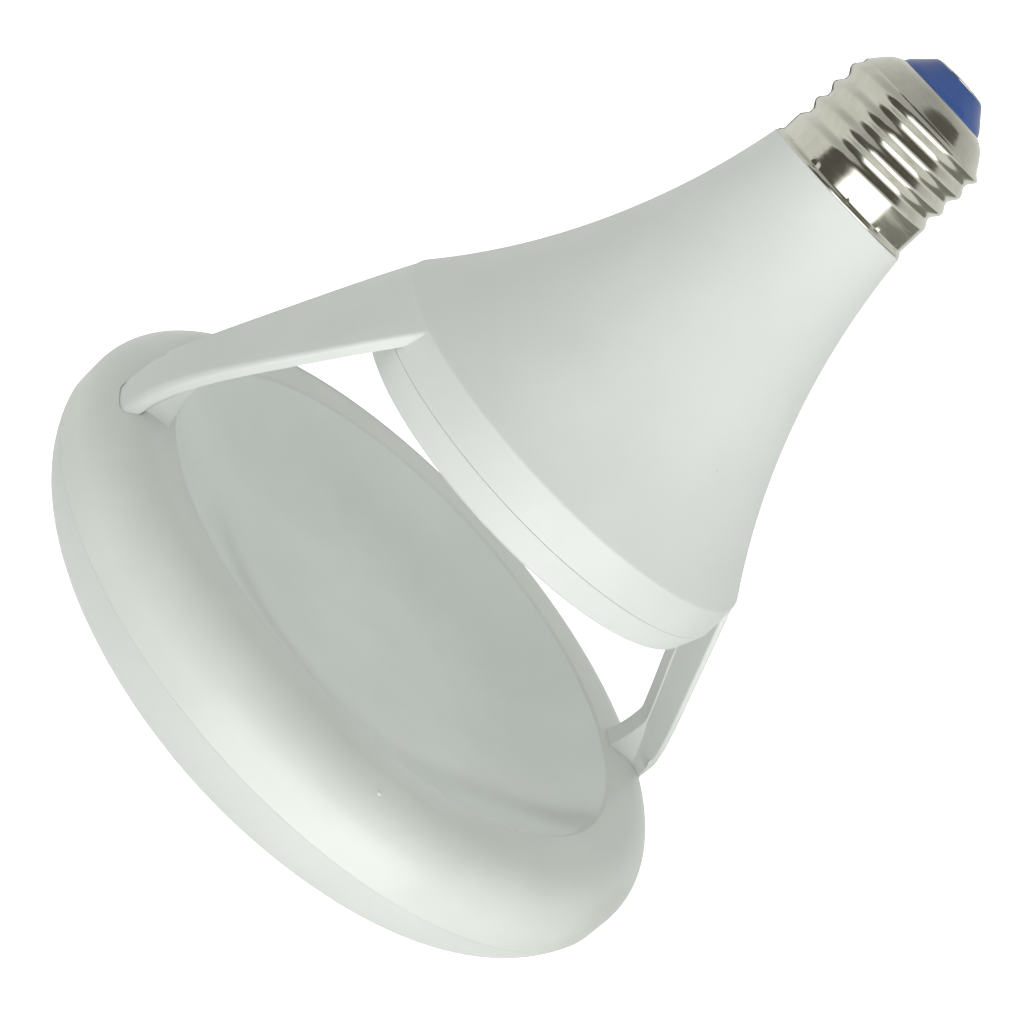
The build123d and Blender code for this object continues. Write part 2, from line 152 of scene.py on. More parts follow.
def new_finish(name):
    """An empty material with Object coordinates ready, as (material, tree, coordinates)."""
    material = bpy.data.materials.new(name)
    material.use_nodes = True
    tree = material.node_tree
    tree.nodes.clear()
    place = add(tree, "ShaderNodeTexCoord", {})
    return material, tree, place.outputs["Object"]


def set_ramp(node, *stops):
    """Gives a colour ramp its stops, each a place from 0 to 1 and a hex colour."""
    ramp = node.color_ramp
    while len(ramp.elements) < len(stops):
        ramp.elements.new(0.5)
    for element, (place, colour) in zip(ramp.elements, stops):
        element.position = place
        element.color = linear(colour)


print("a mid grey in linear light is", round(linear("#808080")[0], 3))

# %% [markdown]
# ## White moulded plastic
# Housing, cover and rim are injection moulded in white PBT. Such a moulding has a soft sheen rather than
# a gloss, very faint clouds where the melt flowed, a fine orange peel and now and then a dark speck of
# burnt resin. The clouds are a slow noise, the specks are the cores of scattered Voronoi cells, and the
# peel is drawn coarser than it is so that it shows.

# %% White plastic
def moulded_white(name, low_colour, high_colour, low_rough, high_rough, peel, peel_size):
    """White moulded plastic with melt clouds, specks and orange peel of a given strength and size."""
    material, tree, place = new_finish(name)
    clouds = add(tree, "ShaderNodeTexNoise", {"Vector": place, "Scale": per_mm(22), "Detail": 3.0})
    tint = add(tree, "ShaderNodeValToRGB", {"Fac": clouds})
    set_ramp(tint, (0.35, low_colour), (0.65, high_colour))
    cells = add(tree, "ShaderNodeTexVoronoi", {"Vector": place, "Scale": per_mm(11)})
    speck = add(tree, "ShaderNodeValToRGB", {"Fac": cells})
    set_ramp(speck, (0.006, "#aeaba3"), (0.018, "#ffffff"))
    colour = add(tree, "ShaderNodeMix", {0: 1.0, 6: tint, 7: speck}, data_type="RGBA", blend_type="MULTIPLY")
    flow = add(tree, "ShaderNodeTexNoise", {"Vector": place, "Scale": per_mm(9), "Detail": 4.0})
    rough = add(tree, RANGE, {"Value": flow, **NOISE_SPAN, "To Min": low_rough, "To Max": high_rough})
    grit = add(tree, "ShaderNodeTexNoise", {"Vector": place, "Scale": per_mm(peel_size), "Detail": 1.0})
    bump = add(tree, "ShaderNodeBump", {"Height": grit, "Strength": peel, "Distance": 0.05 * MM})
    shader = add(tree, "ShaderNodeBsdfPrincipled", {"Base Color": colour.outputs[2], "Roughness": rough,
                                                    "Normal": bump, "IOR": 1.5})
    add(tree, "ShaderNodeOutputMaterial", {"Surface": shader})
    return material


housing_plastic = moulded_white("moulded_white_pbt", "#e5e7e5", "#eaecea", 0.40, 0.50, 0.08, 0.9)
# The rim's mould is polished, so the rim has more gloss and no peel. Its roughness stays above 0.28, because
# the renderer's noise filter takes a smoother face for a mirror, and a mixed face would show islands.
rim_plastic = moulded_white("moulded_white_pbt_gloss", "#e1e5e0", "#e6eae5", 0.29, 0.35, 0.0, 5.0)
print("made", housing_plastic.name, "and", rim_plastic.name)

# %% [markdown]
# ## Enamelled dish
# The dish is a stamped aluminium bowl under glossy white stove enamel. The enamel mirrors the arms and the
# cover above it, so it gets a low roughness, and a long slow bump for the slight waviness of sheet metal.

# %% Dish enamel
def stove_enamel():
    """Glossy white enamel on a stamped sheet, with slow waves and a few dust nibs."""
    material, tree, place = new_finish("white_stove_enamel")
    clouds = add(tree, "ShaderNodeTexNoise", {"Vector": place, "Scale": per_mm(26), "Detail": 3.0})
    tint = add(tree, "ShaderNodeValToRGB", {"Fac": clouds})
    set_ramp(tint, (0.35, "#eaeeeb"), (0.65, "#f0f4f1"))
    rough = add(tree, RANGE, {"Value": clouds, **NOISE_SPAN, "To Min": 0.17, "To Max": 0.23})
    cells = add(tree, "ShaderNodeTexVoronoi", {"Vector": place, "Scale": per_mm(8)})
    nib = add(tree, RANGE, {"Value": cells, "From Min": 0.02, "From Max": 0.06,
                            "To Min": 1.0, "To Max": 0.0})
    waves = add(tree, "ShaderNodeTexNoise", {"Vector": place, "Scale": per_mm(14), "Detail": 1.0})
    height = add(tree, MATH, {0: waves, 1: nib}, operation="ADD")
    bump = add(tree, "ShaderNodeBump", {"Height": height, "Strength": 0.12, "Distance": 0.2 * MM})
    shader = add(tree, "ShaderNodeBsdfPrincipled", {"Base Color": tint, "Roughness": rough,
                                                    "Normal": bump, "IOR": 1.52})
    add(tree, "ShaderNodeOutputMaterial", {"Surface": shader})
    return material


dish_enamel = stove_enamel()
print("made", dish_enamel.name)

# %% [markdown]
# ## Nickel-plated cap
# The cap is thin brass sheet, rolled into a thread and plated with nickel, which gives a warm grey mirror
# that is slightly drawn out round the axis by the rolling. Roughness therefore varies in thin level lines,
# and patches of tarnish darken the plating a little.

# %% Nickel
def rolled_nickel():
    """Nickel plating with level rolling lines and light tarnish."""
    material, tree, place = new_finish("rolled_nickel_plate")
    squeeze = add(tree, "ShaderNodeMapping", {"Vector": place, "Scale": (1.0, 1.0, 9.0)})
    lines = add(tree, "ShaderNodeTexNoise", {"Vector": squeeze, "Scale": per_mm(4), "Detail": 4.0})
    tarnish = add(tree, "ShaderNodeTexNoise", {"Vector": place, "Scale": per_mm(5), "Detail": 4.0})
    tint = add(tree, "ShaderNodeValToRGB", {"Fac": tarnish})
    set_ramp(tint, (0.30, "#d0cdc0"), (0.62, "#dedcd1"))
    rough = add(tree, RANGE, {"Value": lines, **NOISE_SPAN, "To Min": 0.12, "To Max": 0.22})
    bump = add(tree, "ShaderNodeBump", {"Height": lines, "Strength": 0.10, "Distance": 0.03 * MM})
    shader = add(tree, "ShaderNodeBsdfPrincipled", {"Base Color": tint, "Metallic": 1.0, "Roughness": rough,
                                                    "Normal": bump})
    add(tree, "ShaderNodeOutputMaterial", {"Surface": shader})
    return material


nickel = rolled_nickel()
print("made", nickel.name)

# %% [markdown]
# ## Plainer finishes
# The insulator is a blue thermoset moulding, and the pieces inside the lamp are circuit board, ferrite,
# sleeves and epoxy. They share one recipe: a body colour with a second shade in blotches of a given size,
# a roughness range and a fine grain.

# %% Thermoset, board and component finishes
def two_shade(name, first, second, blotch, low_rough, high_rough, grain, detail=4.0, relief=0.15, **looks):
    """A two-shade finish with blotches and grain of given sizes in millimetres. Looks are shader inputs."""
    material, tree, place = new_finish(name)
    blotches = add(tree, "ShaderNodeTexNoise", {"Vector": place, "Scale": per_mm(blotch), "Detail": detail})
    tint = add(tree, "ShaderNodeValToRGB", {"Fac": blotches})
    set_ramp(tint, (0.35, first), (0.65, second))
    fine = add(tree, "ShaderNodeTexNoise", {"Vector": place, "Scale": per_mm(grain), "Detail": 2.0})
    rough = add(tree, RANGE, {"Value": fine, **NOISE_SPAN, "To Min": low_rough, "To Max": high_rough})
    bump = add(tree, "ShaderNodeBump", {"Height": fine, "Strength": relief, "Distance": 0.04 * MM})
    shader = add(tree, "ShaderNodeBsdfPrincipled", {"Base Color": tint, "Roughness": rough,
                                                    "Normal": bump, **looks})
    add(tree, "ShaderNodeOutputMaterial", {"Surface": shader})
    return material


blue_thermoset = two_shade("moulded_blue_thermoset", "#3b589c", "#3f5da4", 3.0, 0.22, 0.26, 1.5)
inner_finishes = {
    "led_board": two_shade("white_solder_mask", "#e4e4dd", "#efefe9", 4.0, 0.35, 0.5, 0.4),
    "leds": two_shade("phosphor_silicone", "#d9b23a", "#e8c655", 1.0, 0.3, 0.45, 0.3),
    "driver_board": two_shade("green_solder_mask", "#1f5a35", "#2b6e43", 5.0, 0.35, 0.5, 0.4),
    "transformer": two_shade("sintered_ferrite", "#2b2a2b", "#3a393a", 2.0, 0.5, 0.7, 0.3),
    "filter_choke": two_shade("wound_ferrite", "#3a2c24", "#4a382c", 0.6, 0.4, 0.6, 0.3),
    "bulk_capacitor": two_shade("shrunk_pvc_sleeve", "#20242c", "#2b313b", 3.0, 0.25, 0.4, 0.5),
    "film_capacitor": two_shade("dipped_epoxy", "#7f2f22", "#8f3a2a", 2.0, 0.25, 0.4, 0.5),
    "bridge_rectifier": two_shade("moulded_black_epoxy", "#1d1d1f", "#2a2a2c", 1.5, 0.45, 0.6, 0.2),
    "control_chip": two_shade("moulded_chip_epoxy", "#202022", "#2c2c2e", 1.0, 0.45, 0.6, 0.2),
    "fuse_resistor": two_shade("lacquered_resistor", "#8b6b45", "#9b7a52", 1.5, 0.35, 0.5, 0.3),
    "live_lead": two_shade("black_pvc_sleeve", "#232323", "#303030", 2.0, 0.4, 0.5, 0.3),
    "neutral_lead": two_shade("white_pvc_sleeve", "#d8d8d4", "#e2e2de", 2.0, 0.4, 0.5, 0.3),
    "led_lead_right": two_shade("red_pvc_sleeve", "#8e2320", "#a12c28", 2.0, 0.4, 0.5, 0.3),
    "led_lead_left": two_shade("dark_pvc_sleeve", "#2a2523", "#363130", 2.0, 0.4, 0.5, 0.3),
}
for node_name, finish in inner_finishes.items():
    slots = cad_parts[node_name].data.materials
    slots.clear()
    slots.append(finish)
print("gave finishes to", len(inner_finishes), "inner pieces")

# %% [markdown]
# ## Frosted diffuser
# The lens is polycarbonate filled with fine scattering powder. It looks a shade greyer than the rim, since
# part of the light goes on into the head and is lost there. Its face is satin, with a very fine grain, so
# the last recipe serves, with softer clouds, less relief and the higher refraction of polycarbonate.

# %% Diffuser plastic
diffuser_plastic = two_shade("frosted_polycarbonate", "#d8dbd8", "#dddfdc", 30, 0.33, 0.42, 0.6,
                             detail=2.0, relief=0.06, IOR=1.58)
print("made", diffuser_plastic.name)

# %% [markdown]
# ## Turned pieces
# Most of the lamp is round, so a piece is an outline of radius and height turned about the axis. Corners
# are rounded in the outline itself. Each rounded corner also gets a point just before and after it, which
# holds the flat faces flat when the mesh is shaded smooth.

# %% Outline and turning helpers
ROUND_STEPS = 6
HOLD = 0.05         # from a rounded corner's end to the point that holds the flat face
TURN_STEPS = 192
ON_AXIS = 1e-6      # a smaller radius is a point on the axis
CREASE = 32         # in degrees


def rounded(corners):
    """Points of a closed outline. A corner is (x, y) or (x, y, radius of its rounding)."""
    points = []
    for i, corner in enumerate(corners):
        here = Vector(corner[:2])
        radius = corner[2] if len(corner) > 2 else 0
        if not radius:
            points.append(here)
            continue
        back = (Vector(corners[i - 1][:2]) - here).normalized()
        ahead = (Vector(corners[(i + 1) % len(corners)][:2]) - here).normalized()
        half_angle = back.angle(ahead) / 2
        run = radius / math.tan(half_angle)
        middle = here + (back + ahead).normalized() * radius / math.sin(half_angle)
        first = here + back * run - middle
        last = here + ahead * run - middle
        points.append(here + back * (run + HOLD))
        for step in range(ROUND_STEPS + 1):
            ray = first.lerp(last, step / ROUND_STEPS)
            points.append(middle + ray.normalized() * radius)
        points.append(here + ahead * (run + HOLD))
    return points


def bowed(start, end, sag, steps):
    """Points of a circular arc from start to end, with the end left off. Sag is the bow to its left."""
    start = Vector(start)
    end = Vector(end)
    chord = end - start
    side = Vector((-chord.y, chord.x)).normalized()
    radius = (chord.length ** 2 / 4 + sag ** 2) / (2 * abs(sag))
    middle = (start + end) / 2 + side * (sag - math.copysign(radius, sag))
    sweep = (start - middle).angle_signed(end - middle)
    points = []
    for step in range(steps):
        ray = start - middle
        turn = -sweep * step / steps
        ray = Vector((ray.x * math.cos(turn) - ray.y * math.sin(turn),
                      ray.x * math.sin(turn) + ray.y * math.cos(turn)))
        points.append(tuple(middle + ray))
    return points


def tangent_arc(start, direction, end, steps):
    """Points of an arc that leaves start along direction and reaches end, and its direction there."""
    start = Vector(start)
    end = Vector(end)
    direction = Vector(direction).normalized()
    chord = end - start
    lean = direction.angle_signed(chord)
    sag = math.tan(lean / 2) * chord.length / 2
    leave = chord.normalized() * 2 * chord.normalized().dot(direction) - direction
    return bowed(start, end, sag, steps), leave


def put(name, mesh):
    """Adds a mesh to the scene at the origin."""
    piece = bpy.data.objects.new(name, mesh)
    bpy.context.scene.collection.objects.link(piece)
    return piece


def turned(name, outline, steps=TURN_STEPS, closed=True):
    """Turns an outline of (radius, height) points in millimetres about the lamp's axis."""
    shape = bmesh.new()
    rings = []
    for r, z in outline:
        if r < ON_AXIS:
            rings.append([shape.verts.new((0, 0, z * MM))] * steps)
            continue
        angles = [math.tau * i / steps for i in range(steps)]
        rings.append([shape.verts.new((r * MM * math.cos(a), r * MM * math.sin(a), z * MM)) for a in angles])
    pairs = list(zip(rings, rings[1:]))
    if closed:
        pairs.append((rings[-1], rings[0]))
    for low, high in pairs:
        for i in range(steps):
            j = (i + 1) % steps
            corners = list(dict.fromkeys((low[i], low[j], high[j], high[i])))
            if len(corners) > 2:
                shape.faces.new(corners)
    bmesh.ops.recalc_face_normals(shape, faces=shape.faces)
    mesh = bpy.data.meshes.new(name)
    shape.to_mesh(mesh)
    shape.free()
    return put(name, mesh)


def smooth(piece, degrees=CREASE):
    """Shades a piece smooth, with edges sharper than an angle kept crisp."""
    piece.data.shade_smooth()
    piece.data.set_sharp_from_angle(angle=math.radians(degrees))
    return piece


def stand_for(piece, finish, node):
    """Gives a piece its finish, seats it on the lamp's one body and hides the solid that it stands for."""
    piece.data.materials.clear()
    piece.data.materials.append(finish)
    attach(piece, "root")
    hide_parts(node)
    corners = [v.co for v in piece.data.vertices]
    low = min(c.z for c in corners) / MM
    high = max(c.z for c in corners) / MM
    print(piece.name, "from", round(low, 2), "to", round(high, 2), "mm,", len(piece.data.polygons), "faces")


print("a turned piece has", TURN_STEPS, "steps round the axis unless it says otherwise")

# %% [markdown]
# ## Screw cap
# The thread is a wave that climbs one pitch in each turn. Its groove starts at a given turn, so that the
# first crest grows out of the plain skirt, and it runs out into the conical shoulder above. That is a rule,
# so Geometry Nodes make it: a flat grid is rolled into a tube, and the radius of each point follows from
# its angle and height. A fine ridge lies in the groove, as rolling leaves it. Twelve crimp marks near the
# skirt's edge, which lock the cap to the housing, are pressed in by the same rule. The sheet's thickness
# comes last.

# %% Rolled thread as a node tree
GROOVE_RUN_IN = 0.35                # turns over which the groove gets its full depth
RIDGE_FROM = 0.93                   # share of the groove's depth from which the fine ridge rises
SKIRT_BLEND = (0.8, 1.3)            # in skirt heights, where the skirt passes into the thread
SHOULDER_BLEND = (0.953, 1.018)     # in shoulder heights, where the thread runs out
SHOULDER_CURL = 6.0                 # the larger, the later the shoulder curls in to the mouth
HEM_SHARE = 0.2                     # share of the flare's height that is a plain hem


def cap_tree():
    """Node tree that rolls a grid into the cap, and its inputs by name."""
    tree = bpy.data.node_groups.new("rolled_cap", "GeometryNodeTree")
    face = tree.interface
    sizes = ["Skirt Radius", "Skirt Height", "Flare Radius", "Flare Height", "Crest Radius", "Root Radius",
             "Pitch", "First Crest", "Groove Start", "Groove Ridge", "Shoulder Height", "Shoulder Radius",
             "Brow Radius", "Mouth Radius", "Mouth Height", "Crimp Height", "Crimp Depth", "Crimp Size"]
    sockets = {}
    for label in ["Columns", "Rows"]:
        sockets[label] = face.new_socket(name=label, in_out="INPUT", socket_type="NodeSocketInt")
    for label in sizes + ["Crimp Count", "Crimp Turn"]:
        sockets[label] = face.new_socket(name=label, in_out="INPUT", socket_type="NodeSocketFloat")
    sockets["Finish"] = face.new_socket(name="Finish", in_out="INPUT", socket_type="NodeSocketMaterial")
    face.new_socket(name="Cap", in_out="OUTPUT", socket_type="NodeSocketGeometry")
    given = add(tree, "NodeGroupInput", {}).outputs
    grid = add(tree, "GeometryNodeMeshGrid", {"Size X": 1.0, "Size Y": 1.0, "Vertices X": given["Columns"],
                                              "Vertices Y": given["Rows"]})
    place = add(tree, "GeometryNodeInputPosition", {})
    flat = add(tree, "ShaderNodeSeparateXYZ", {"Vector": place.outputs["Position"]})
    turn = add(tree, MATH, {0: flat.outputs["X"], 1: 0.5}, operation="ADD")
    angle = add(tree, MATH, {0: turn, 1: math.tau}, operation="MULTIPLY")
    up = add(tree, MATH, {0: flat.outputs["Y"], 1: 0.5}, operation="ADD")
    z = add(tree, MATH, {0: up, 1: given["Mouth Height"]}, operation="MULTIPLY")
    climb = add(tree, MATH, {0: z, 1: given["First Crest"]}, operation="SUBTRACT")
    turns = add(tree, MATH, {0: climb, 1: given["Pitch"]}, operation="DIVIDE")
    phase = add(tree, MATH, {0: turns, 1: turn}, operation="SUBTRACT")
    swing = add(tree, MATH, {0: phase, 1: math.tau}, operation="MULTIPLY")
    wave = add(tree, MATH, {0: swing}, operation="COSINE")
    groove = add(tree, RANGE, {"Value": wave, "From Min": 1.0, "From Max": -1.0})
    whole_turns = add(tree, MATH, {0: phase}, operation="FLOOR")
    helix = add(tree, MATH, {0: whole_turns, 1: turn}, operation="ADD")
    run = add(tree, MATH, {0: helix, 1: given["Groove Start"]}, operation="SUBTRACT")
    begun = add(tree, RANGE, {"Value": run, "From Max": GROOVE_RUN_IN}, interpolation_type="SMOOTHSTEP")
    share = add(tree, MATH, {0: groove, 1: begun}, operation="MULTIPLY")
    wall = add(tree, RANGE, {"Value": share, "To Min": given["Crest Radius"],
                             "To Max": given["Root Radius"]})
    ridge = add(tree, RANGE, {"Value": share, "From Min": RIDGE_FROM, "From Max": 1.0,
                              "To Max": given["Groove Ridge"]}, interpolation_type="SMOOTHSTEP")
    thread = add(tree, MATH, {0: wall, 1: ridge}, operation="ADD")
    start = add(tree, MATH, {0: given["Skirt Height"], 1: SKIRT_BLEND[0]}, operation="MULTIPLY")
    done = add(tree, MATH, {0: given["Skirt Height"], 1: SKIRT_BLEND[1]}, operation="MULTIPLY")
    lower = add(tree, RANGE, {"Value": z, "From Min": start, "From Max": done,
                              "To Min": given["Skirt Radius"], "To Max": thread},
                interpolation_type="SMOOTHSTEP")
    rise = add(tree, RANGE, {"Value": z, "From Min": given["Shoulder Height"],
                             "From Max": given["Mouth Height"], "To Min": 0.0, "To Max": 1.0})
    cone = add(tree, RANGE, {"Value": rise, "To Min": given["Shoulder Radius"],
                             "To Max": given["Brow Radius"]})
    bend = add(tree, MATH, {0: rise, 1: SHOULDER_CURL}, operation="POWER")
    curl = add(tree, MATH, {0: given["Brow Radius"], 1: given["Mouth Radius"]}, operation="SUBTRACT")
    turned_in = add(tree, MATH, {0: bend, 1: curl}, operation="MULTIPLY")
    dome = add(tree, MATH, {0: cone, 1: turned_in}, operation="SUBTRACT")
    fade = add(tree, MATH, {0: given["Shoulder Height"], 1: SHOULDER_BLEND[0]}, operation="MULTIPLY")
    faded = add(tree, MATH, {0: given["Shoulder Height"], 1: SHOULDER_BLEND[1]}, operation="MULTIPLY")
    whole = add(tree, RANGE, {"Value": z, "From Min": fade, "From Max": faded,
                              "To Min": lower, "To Max": dome}, interpolation_type="SMOOTHSTEP")
    hem = add(tree, MATH, {0: given["Flare Height"], 1: HEM_SHARE}, operation="MULTIPLY")
    flare = add(tree, RANGE, {"Value": z, "From Min": hem, "From Max": given["Flare Height"],
                              "To Min": given["Flare Radius"], "To Max": whole},
                interpolation_type="SMOOTHSTEP")
    shifted = add(tree, MATH, {0: turn, 1: given["Crimp Turn"]}, operation="SUBTRACT")
    count = add(tree, MATH, {0: shifted, 1: given["Crimp Count"]}, operation="MULTIPLY")
    nearest = add(tree, MATH, {0: count, 1: 0.0}, operation="ROUND")
    off = add(tree, MATH, {0: count, 1: nearest}, operation="SUBTRACT")
    arc = add(tree, MATH, {0: off, 1: given["Crimp Count"]}, operation="DIVIDE")
    bow = add(tree, MATH, {0: arc, 1: math.tau}, operation="MULTIPLY")
    along = add(tree, MATH, {0: bow, 1: given["Skirt Radius"]}, operation="MULTIPLY")
    above = add(tree, MATH, {0: z, 1: given["Crimp Height"]}, operation="SUBTRACT")
    spot = add(tree, "ShaderNodeCombineXYZ", {"X": along, "Y": above})
    reach = add(tree, "ShaderNodeVectorMath", {0: spot}, operation="LENGTH").outputs["Value"]
    ratio = add(tree, MATH, {0: reach, 1: given["Crimp Size"]}, operation="DIVIDE")
    square = add(tree, MATH, {0: ratio, 1: ratio}, operation="MULTIPLY")
    minus = add(tree, MATH, {0: square, 1: -1.0}, operation="MULTIPLY")
    pit = add(tree, MATH, {0: minus}, operation="EXPONENT")
    dent = add(tree, MATH, {0: pit, 1: given["Crimp Depth"]}, operation="MULTIPLY")
    radius = add(tree, MATH, {0: flare, 1: dent}, operation="SUBTRACT")
    cosine = add(tree, MATH, {0: angle}, operation="COSINE")
    sine = add(tree, MATH, {0: angle}, operation="SINE")
    x = add(tree, MATH, {0: radius, 1: cosine}, operation="MULTIPLY")
    y = add(tree, MATH, {0: radius, 1: sine}, operation="MULTIPLY")
    rolled = add(tree, "ShaderNodeCombineXYZ", {"X": x, "Y": y, "Z": z})
    tube = add(tree, "GeometryNodeSetPosition", {"Geometry": grid.outputs["Mesh"], "Position": rolled})
    joined = add(tree, "GeometryNodeMergeByDistance", {"Geometry": tube, "Distance": 1e-6})
    real = add(tree, "GeometryNodeRealizeInstances", {"Geometry": joined})
    faced = add(tree, "GeometryNodeSetMaterial", {"Geometry": real, "Material": given["Finish"]})
    add(tree, "NodeGroupOutput", {"Cap": faced})
    return tree, sockets


def grown(name, tree, sockets, values):
    """A piece with a node tree as its modifier, and its inputs set by identifier."""
    piece = put(name, bpy.data.meshes.new(name))
    modifier = piece.modifiers.new(name, "NODES")
    modifier.node_group = tree
    for label, value in values.items():
        modifier[sockets[label].identifier] = value
    return piece


def made_plain(piece):
    """Turns the piece's modifiers into a plain mesh."""
    graph = bpy.context.evaluated_depsgraph_get()
    mesh = bpy.data.meshes.new_from_object(piece.evaluated_get(graph))
    piece.modifiers.clear()
    piece.data = mesh


tree, sockets = cap_tree()
print("the cap's tree has", len(tree.nodes), "nodes")

# %% Screw cap
first_crest = 2.3
crimp_turn = 8.0 / 360      # the first crimp lies 8 degrees round
cap = grown("rolled_screw_cap", tree, sockets, {
    "Columns": 241, "Rows": 160, "Skirt Radius": skirt_r * MM, "Skirt Height": skirt_h * MM,
    "Flare Radius": flare_r * MM, "Flare Height": flare_h * MM, "Crest Radius": crest_r * MM,
    "Root Radius": root_r * MM, "Pitch": thread_pitch * MM, "First Crest": first_crest * MM,
    "Groove Start": -0.02, "Groove Ridge": 0.04 * MM, "Shoulder Height": shoulder_z * MM,
    "Shoulder Radius": 12.3 * MM, "Brow Radius": 9.4 * MM, "Mouth Radius": mouth_r * MM,
    "Mouth Height": mouth_z * MM, "Crimp Height": 0.95 * MM, "Crimp Depth": 0.3 * MM,
    "Crimp Size": 0.42 * MM, "Crimp Count": 12.0, "Crimp Turn": crimp_turn, "Finish": nickel})
sheet = cap.modifiers.new("cap_sheet", "SOLIDIFY")
sheet.thickness = cap_sheet * MM
sheet.offset = -1.0
made_plain(cap)
smooth(cap, 50)
stand_for(cap, nickel, "screw_shell")

# %% [markdown]
# ## Insulator and centre contact
# A blue cone closes the cap, and a metal eyelet on its end is the lamp's second contact. Both are turned.
# The eyelet gets a small dome of solder, which is where the live lead ends on a real cap.

# %% Insulator and contact
insulator_bore = 1.65
insulator_low_z = 15.6
flange_r = 9.4
flange_z = 17.0
throat_z = 18.4
cone_brow = (7.8, 21.6, 1.2)
insulator = turned("insulator_cone", rounded([
    (insulator_bore, tip_z), (cone_tip_r, tip_z, 0.3), cone_brow, (mouth_r - 0.1, mouth_z + 0.1, 0.2),
    (mouth_r - 0.15, throat_z), (flange_r, flange_z), (flange_r, insulator_low_z),
    (insulator_bore, insulator_low_z)]))
stand_for(smooth(insulator), blue_thermoset, "cap_insulator")
eyelet_r = 4.6
stem_r = 1.6
stem_low_z = 19.5
solder_dome = [(0, tip_z + 0.45), (1.9, tip_z + 0.44), (2.5, tip_z + 0.26, 0.2)]
eyelet_ring = [(3.4, tip_z + 0.32, 0.3), (eyelet_r, tip_z + 0.16, 0.08), (eyelet_r, tip_z)]
eyelet_stem = [(stem_r, tip_z), (stem_r, stem_low_z), (0, stem_low_z)]
contact = turned("centre_contact_eyelet", rounded(solder_dome + eyelet_ring + eyelet_stem), steps=96)
stand_for(smooth(contact), nickel, "centre_contact")

# %% [markdown]
# ## Housing
# The trumpet is a turned outline with a rounded lip and a short band below it. Each arm is a stack of
# level slices: thin at both edges, thicker in the middle, with a foot that grows towards the rim. All
# slices have the same number of points, so the stack is skinned with plain four-sided faces. The stack
# ends where it meets the rim, with the tongue a little sunk into it and broader on one side. The head of
# the real lamp sits a little turned on its arms, so the slices turn by a degree or two from top to bottom.
# Values that differ between the arms are kept by side, 1 for +X and -1 for -X. A Boolean joins the three.

# %% Trumpet
collar_bore = 10.15
collar_r = 11.85
collar_top_z = 8.5
collar_low_z = 2.8
collar_step_r = 12.8
trumpet_top = [(collar_bore, 0), (collar_bore, collar_top_z), (collar_r, collar_top_z),
               (collar_r, collar_low_z), (collar_step_r, collar_low_z), (collar_step_r, 0), (neck_r, 0, 0.25)]
trumpet_flare = bowed((neck_r, 0), (lip_r, lip_z), -trumpet_sag, 40)[1:]
trumpet_band = [(lip_r, lip_z, 0.9), (band_r, band_z, 0.08), (band_bore, band_z), (band_bore, lip_z)]
trumpet_inside = bowed((band_bore, lip_z), (collar_bore, 0), trumpet_sag, 24)[1:]
trumpet = turned("moulded_housing", rounded(trumpet_top + trumpet_flare + trumpet_band + trumpet_inside))
print("trumpet has", len(trumpet.data.vertices), "points")

# %% Shape of an arm
arm_top_z = -56.15
arm_top_r = 38.06
arm_tip_r = 60.7
arm_bow = 0.4
arm_late_bow = 16.0     # a second bow, strongest near the rim
arm_t = 4.0             # thickness of the arm's middle
arm_thinning = 2.8      # how fast the middle gets thinner below thin_from
thin_from = 0.75
arm_top_half = 13.6
arm_taper = 0.239
arm_spread = 4.6        # how much wider the tongue is on one side than a straight taper makes it
spread_power = 6        # the larger, the later it spreads
near_edge_t = {1: 1.3, -1: 2.3}     # thickness of the edge on the side of -Y
near_edge_round = {1: 0.4, -1: 0.15}
far_edge_t = 0.8        # thickness of the edge on the side of +Y
far_edge_round = 0.15
face_round = 0.9        # rounding of the outer face's edges
face_share = 0.7        # share of an edge's thickness that this rounding may take
face_rest = 0.1         # what it leaves of that
inner_share = 0.35      # share of an edge's thickness that the inner rounding may take
face_margin = 2.2       # from the arm's edges to the outermost points on its face
FACE_STEPS = 16
rib_half = 2.0
rib_growth = 0.2        # how much the rib's half width grows down to the tongue
rib_round = 0.3
rib_step = 0.35         # how far the rib stands out of the arm's middle
rib_flare = {1: 0.43, -1: 0.85}     # how fast the foot's sides spread towards the tongue
foot_r = 51.9
foot_hollow = 0.35
foot_margin = 0.5       # least distance from the foot's side to the arm's edge
foot_margin_wide = 2.0  # the same on the tongue's wide side
foot_melt = 0.8         # extra rounding of the arm's edge beside the foot
elbow_r = 52.6
elbow_z = -89.4
tongue_seat = 0.8
tongue_gap = 0.12
tongue_half = 6.6
tongue_shift = 2.2      # from the arm's middle line to the tongue's
tongue_depth = 3.0
end_slope = 0.5         # how far a point stays back from the tongue's end, for each mm below the face
lean_top = -1.2         # turn of the arm about the lamp's axis at the lip, in degrees
lean_turn = {1: 0.4, -1: 2.2}       # further turn down to the tongue
rib_drift = {1: 2.2, -1: 0.9}       # how far the rib moves aside down to the tongue
foot_wide = {1: 0.0, -1: 0.9}       # how much broader the foot is on the tongue's wide side


def rim_top(r):
    """Height of the rim's upper surface at a radius."""
    if r < shoulder_r:
        return crest_z + (edge_z - crest_z) * (shoulder_r - r) / (shoulder_r - well_r)
    return crest_z - shoulder_round + math.sqrt(max(0.0, shoulder_round ** 2 - (r - shoulder_r) ** 2))


arm_tip_z = rim_top(arm_tip_r) - tongue_seat


def arm_share(z):
    """How far down the arm a height lies, from 0 at the lip to 1 at the tongue's end."""
    return (arm_top_z - z) / (arm_top_z - arm_tip_z)


def arm_face(z):
    """Radius of the arm's outer face at a height."""
    share = arm_share(z)
    straight = arm_top_r + (arm_tip_r - arm_top_r) * share
    return straight + (4 * arm_bow * share + arm_late_bow * share ** 4) * (1 - share)


